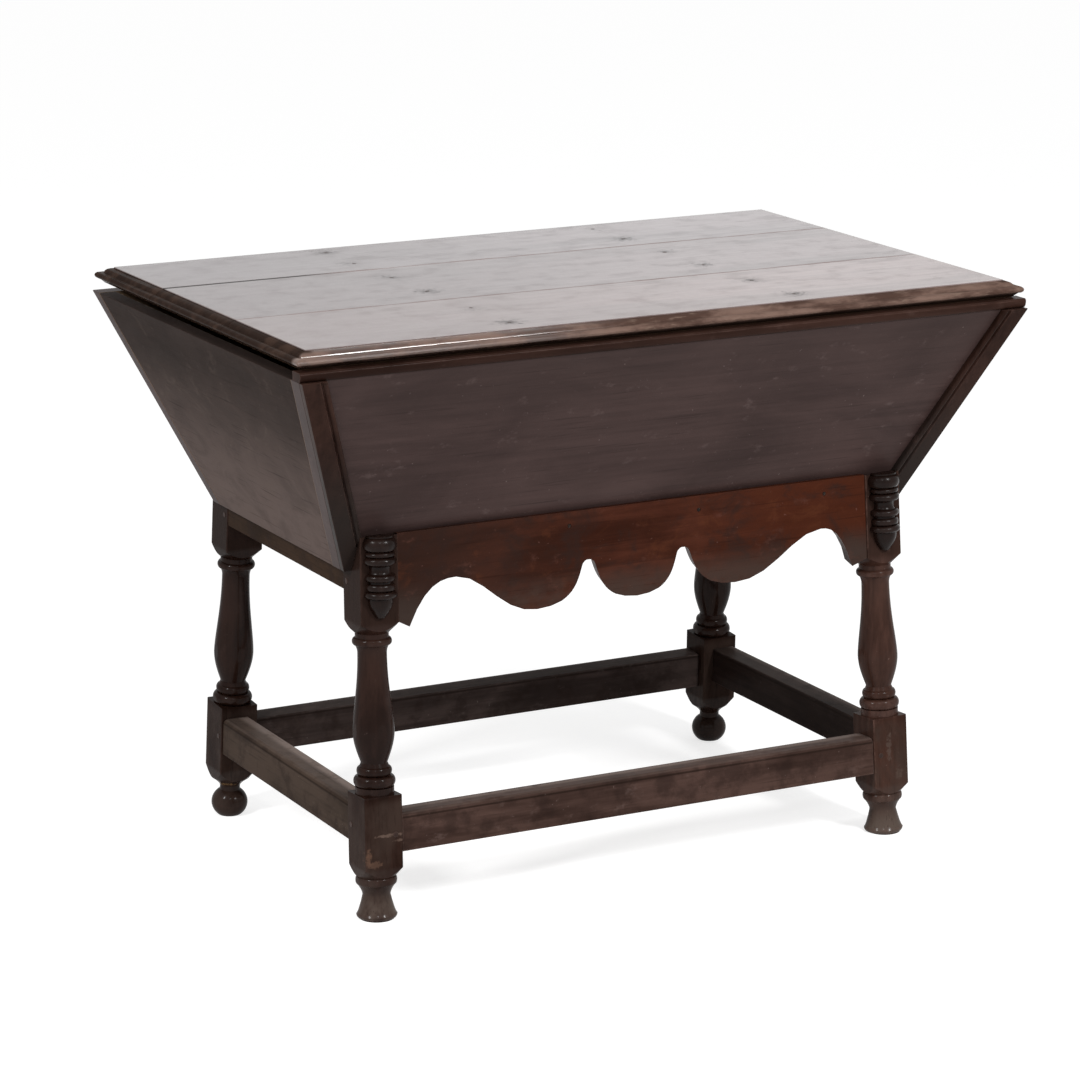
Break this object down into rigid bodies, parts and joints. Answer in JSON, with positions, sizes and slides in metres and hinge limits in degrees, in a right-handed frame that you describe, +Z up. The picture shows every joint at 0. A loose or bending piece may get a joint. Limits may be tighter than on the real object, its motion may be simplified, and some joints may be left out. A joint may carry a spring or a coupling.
{
  "type": "dough bin",
  "caption": "Antique oak dough bin: splayed board trough with a loose moulded plank lid, on a stand of leaning turned legs with a scalloped apron and box stretcher.",
  "frame": {"origin": "on the floor, under the middle of the bin", "axes": "+X along the length, to the right for someone in front; +Y to the back; +Z up"},
  "size_m": [1.04, 0.686, 0.76],
  "materials": {
    "dark_wood": "dark waxed wood, worn",
    "red_wood": "reddish brown waxed wood",
    "board_wood": "dark grey-brown waxed wood",
    "end_wood": "grey-brown waxed wood",
    "lid_wood": "worn brown wood with a pale sheen",
    "bare_wood": "bare scrubbed wood",
    "iron": "dark old iron"
  },
  "bodies": {
    "base": {"leg_front_left": "dark_wood", "leg_front_right": "dark_wood", "leg_back_left": "dark_wood", "leg_back_right": "dark_wood", "split_spindle_left": "dark_wood", "split_spindle_right": "dark_wood", "stretcher_front": "dark_wood", "stretcher_back": "dark_wood", "stretcher_left": "dark_wood", "stretcher_right": "dark_wood", "side_rail_left": "dark_wood", "side_rail_right": "dark_wood", "apron_front_peg_left": "dark_wood", "apron_front_peg_right": "dark_wood", "apron_back_peg_left": "dark_wood", "apron_back_peg_right": "dark_wood", "stretcher_front_peg_left": "dark_wood", "stretcher_front_peg_right": "dark_wood", "stretcher_back_peg_left": "dark_wood", "stretcher_back_peg_right": "dark_wood", "side_rail_left_peg_front": "dark_wood", "side_rail_left_peg_back": "dark_wood", "side_rail_right_peg_front": "dark_wood", "side_rail_right_peg_back": "dark_wood", "stretcher_left_peg_front": "dark_wood", "stretcher_left_peg_back": "dark_wood", "stretcher_right_peg_front": "dark_wood", "stretcher_right_peg_back": "dark_wood", "apron_back": "dark_wood", "corner_strip_left": "dark_wood", "corner_strip_right": "dark_wood", "rim_strip_front": "dark_wood", "apron_front": "red_wood", "trough_front_board": "board_wood", "trough_back_board": "board_wood", "trough_end_left": "end_wood", "trough_end_right": "end_wood", "trough_bottom_front": "bare_wood", "trough_bottom_back": "bare_wood", "apron_nail_1": "iron", "apron_nail_2": "iron", "apron_nail_3": "iron"},
    "lid": {"lid_plank_back": "lid_wood", "lid_plank_middle": "lid_wood", "lid_plank_front": "lid_wood", "lid_cleat_left": "bare_wood", "lid_cleat_right": "bare_wood", "lid_nail_left_1": "iron", "lid_nail_left_2": "iron", "lid_nail_left_3": "iron", "lid_nail_left_4": "iron", "lid_nail_left_5": "iron", "lid_nail_left_6": "iron", "lid_nail_right_1": "iron", "lid_nail_right_2": "iron", "lid_nail_right_3": "iron", "lid_nail_right_4": "iron", "lid_nail_right_5": "iron", "lid_nail_right_6": "iron"}
  },
  "joints": [
    {"name": "lid_lift", "type": "slide", "parent": "base", "child": "lid", "axis": [0, 0, 1], "range_m": [0, 0.35]}
  ]
}
